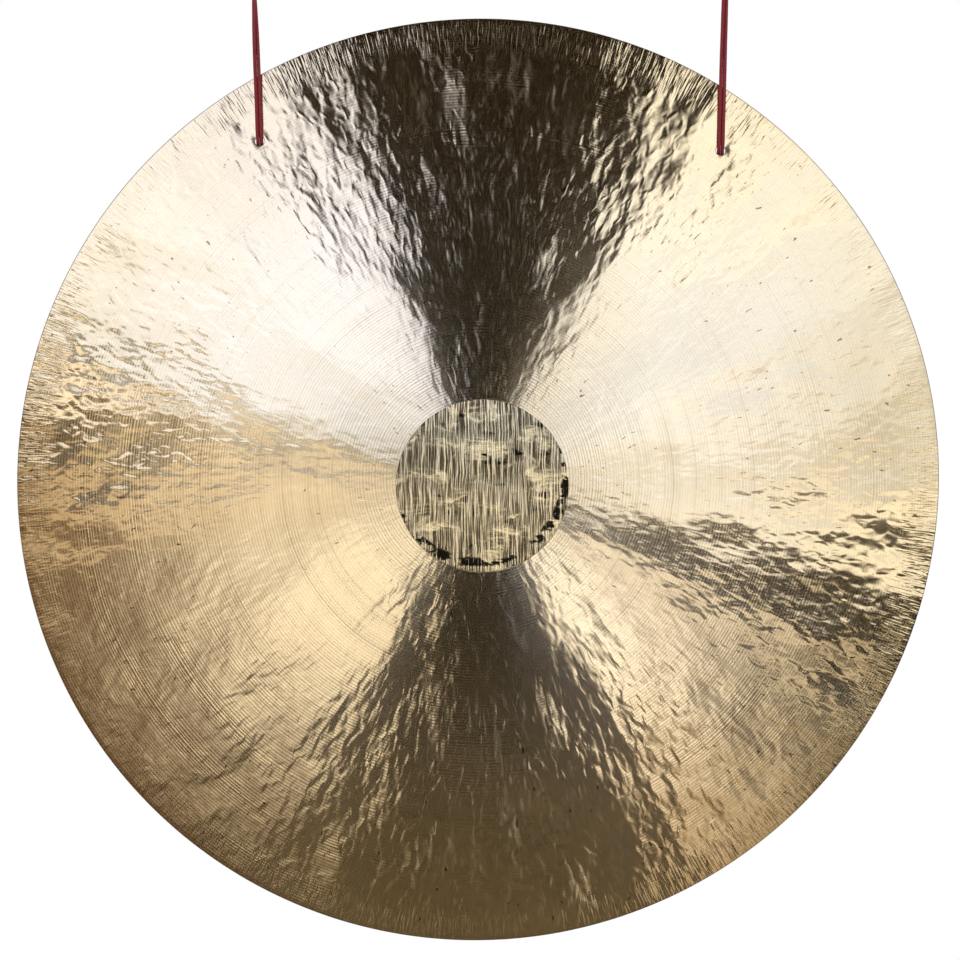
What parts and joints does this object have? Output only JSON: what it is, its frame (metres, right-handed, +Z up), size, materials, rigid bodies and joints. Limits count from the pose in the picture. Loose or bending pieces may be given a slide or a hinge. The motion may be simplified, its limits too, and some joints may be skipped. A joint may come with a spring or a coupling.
{
  "type": "tam tam gong",
  "caption": "Large flat lathe-turned bronze gong hanging by doubled red cords from beam hooks.",
  "frame": {"origin": "on the underside of the beam that carries the gong, midway between the two hook studs", "axes": "+Z up along the studs, -Y out of the playing face towards the listener, +X to the listener's right"},
  "size_m": [0.7999, 0.05, 0.948],
  "materials": {
    "bronze": "hammered tin bronze, turned in fine concentric grooves and left bright, with a scraped unturned centre",
    "cord": "dark red braided nylon cord with a soft sheen",
    "hook_steel": "zinc-plated bent steel rod with a machine thread on the stud"
  },
  "bodies": {
    "beam_hooks": {"left_hook": "hook_steel", "right_hook": "hook_steel"},
    "left_hanger": {"left_cord": "cord", "left_loop_knot": "cord", "left_stopper_knot": "cord"},
    "right_hanger": {"right_cord": "cord", "right_loop_knot": "cord", "right_stopper_knot": "cord"},
    "gong": {"gong_disc": "bronze"}
  },
  "joints": [
    {"name": "cord_swing", "type": "hinge", "parent": "beam_hooks", "child": "left_hanger", "pos_m": [-0.2055, 0, -0.042], "axis": [1, 0, 0], "range_deg": [-15, 15]},
    {"name": "right_cord_swing", "type": "hinge", "parent": "beam_hooks", "child": "right_hanger", "pos_m": [0.2055, 0, -0.042], "axis": [1, 0, 0], "range_deg": [-15, 15]},
    {"name": "gong_tilt", "type": "hinge", "parent": "left_hanger", "child": "gong", "pos_m": [-0.1992, 0, -0.2333], "axis": [0.9998, 0, -0.0208], "range_deg": [-12, 1.5]}
  ],
  "couplings": [
    {"joint": "right_cord_swing", "follows": "cord_swing", "ratio": 1}
  ]
}
